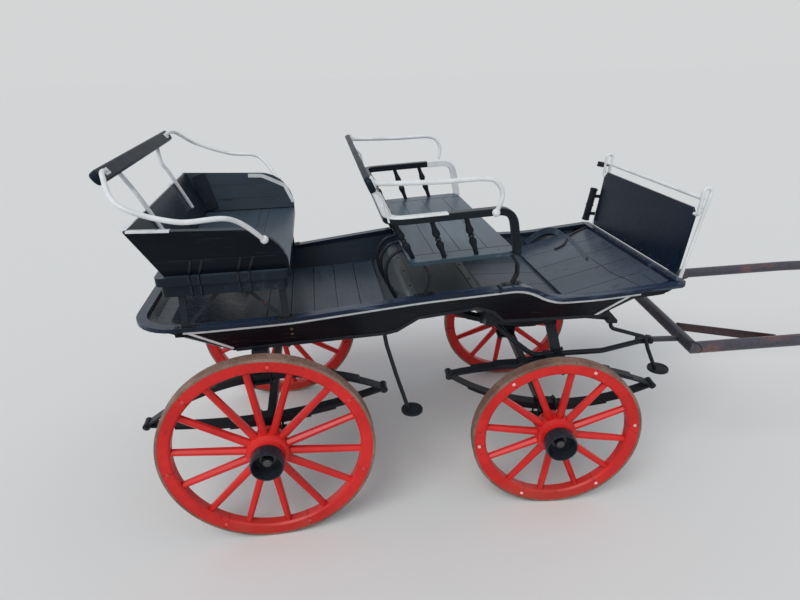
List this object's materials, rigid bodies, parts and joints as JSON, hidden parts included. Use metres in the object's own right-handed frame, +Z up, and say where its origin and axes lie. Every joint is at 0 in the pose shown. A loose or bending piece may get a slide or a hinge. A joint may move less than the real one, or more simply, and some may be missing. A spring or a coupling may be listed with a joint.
{
  "type": "four-wheeled pony carriage",
  "caption": "Open four-wheeled carriage with a flared tray body, wooden spoked wheels, elliptic springs, a turntable, bench seats with bent rails, and a pair of pipe shafts.",
  "frame": {"origin": "on the ground under the middle of the overall length, on the centre plane of the body", "axes": "+X ahead towards the shafts' tips, +Y to the driver's left, +Z up"},
  "size_m": [3.9639, 1.2527, 1.4623],
  "materials": {
    "red_wood": "gloss red paint, chipped",
    "tyre_iron": "bare rusted iron",
    "black_cap": "black paint",
    "black_iron": "black paint, worn",
    "body_paint": "gloss black paint",
    "rail_paint": "gloss blue-black paint, worn",
    "board_paint": "worn blue-grey paint over planks",
    "seat_paint": "gloss blue-black paint",
    "white_rod": "white paint",
    "shaft_iron": "dark paint with rust",
    "brown_iron": "rust brown"
  },
  "bodies": {
    "body": {"rear_axle": "black_iron", "spring_rear_left": "black_iron", "spring_rear_right": "black_iron", "rail": "rail_paint", "body_side_left": "body_paint", "body_side_right": "body_paint", "body_bottom": "body_paint", "rear_floor_boards": "board_paint", "front_floor_boards": "board_paint", "foot_boards": "board_paint", "riser": "board_paint", "dash_panel": "seat_paint", "dash_rods": "white_rod", "whip_socket": "black_iron", "rear_seat_base": "seat_paint", "rear_seat_side_left": "seat_paint", "rear_seat_side_right": "seat_paint", "rear_seat_back": "seat_paint", "rear_backrest": "seat_paint", "rear_handrails": "white_rod", "front_backrest": "seat_paint", "front_handrails": "white_rod", "rear_struts": "white_rod", "front_seat_board": "seat_paint", "arm_rail": "seat_paint", "spindles": "seat_paint", "front_struts": "white_rod", "rear_seat_legs": "black_iron", "front_seat_legs": "black_iron", "mid_step_left": "black_iron", "mid_step_right": "black_iron", "rear_brackets": "black_iron", "turntable_upper": "black_iron"},
    "forecarriage": {"front_axle": "black_iron", "spring_front_left": "black_iron", "spring_front_right": "black_iron", "front_step_left": "black_iron", "front_step_right": "black_iron", "turntable_lower": "black_iron", "side_iron_left": "black_iron", "side_iron_right": "black_iron"},
    "rear_wheel_left": {"wheel_rear_left": "red_wood", "tyre_rear_left": "tyre_iron", "hub_cap_rear_left": "black_cap"},
    "rear_wheel_right": {"wheel_rear_right": "red_wood", "tyre_rear_right": "tyre_iron", "hub_cap_rear_right": "black_cap"},
    "front_wheel_left": {"wheel_front_left": "red_wood", "tyre_front_left": "tyre_iron", "hub_cap_front_left": "black_cap"},
    "front_wheel_right": {"wheel_front_right": "red_wood", "tyre_front_right": "tyre_iron", "hub_cap_front_right": "black_cap"},
    "shafts": {"shaft_left": "shaft_iron", "shaft_right": "shaft_iron", "shaft_crossbar": "shaft_iron", "shaft_braces": "brown_iron"}
  },
  "joints": [
    {"name": "rear_left_spin", "type": "hinge", "parent": "body", "child": "rear_wheel_left", "pos_m": [-1.53398, 0.518, 0.4], "axis": [0, 1, 0], "continuous": true},
    {"name": "rear_right_spin", "type": "hinge", "parent": "body", "child": "rear_wheel_right", "pos_m": [-1.53398, -0.518, 0.4], "axis": [0, 1, 0], "continuous": true},
    {"name": "front_left_spin", "type": "hinge", "parent": "forecarriage", "child": "front_wheel_left", "pos_m": [-0.28872, 0.50047, 0.338], "axis": [0.116, 0.9933, 0], "continuous": true},
    {"name": "front_right_spin", "type": "hinge", "parent": "forecarriage", "child": "front_wheel_right", "pos_m": [-0.40887, -0.52854, 0.338], "axis": [0.116, 0.9933, 0], "continuous": true},
    {"name": "steering", "type": "hinge", "parent": "body", "child": "forecarriage", "pos_m": [-0.46898, 0, 0.748], "axis": [0, 0, 1], "range_deg": [-33.34, 46.66]},
    {"name": "shaft_lift", "type": "hinge", "parent": "forecarriage", "child": "shafts", "pos_m": [0.08228, -0.06437, 0.625], "axis": [-0.116, -0.9933, 0], "range_deg": [-21, 40]}
  ]
}
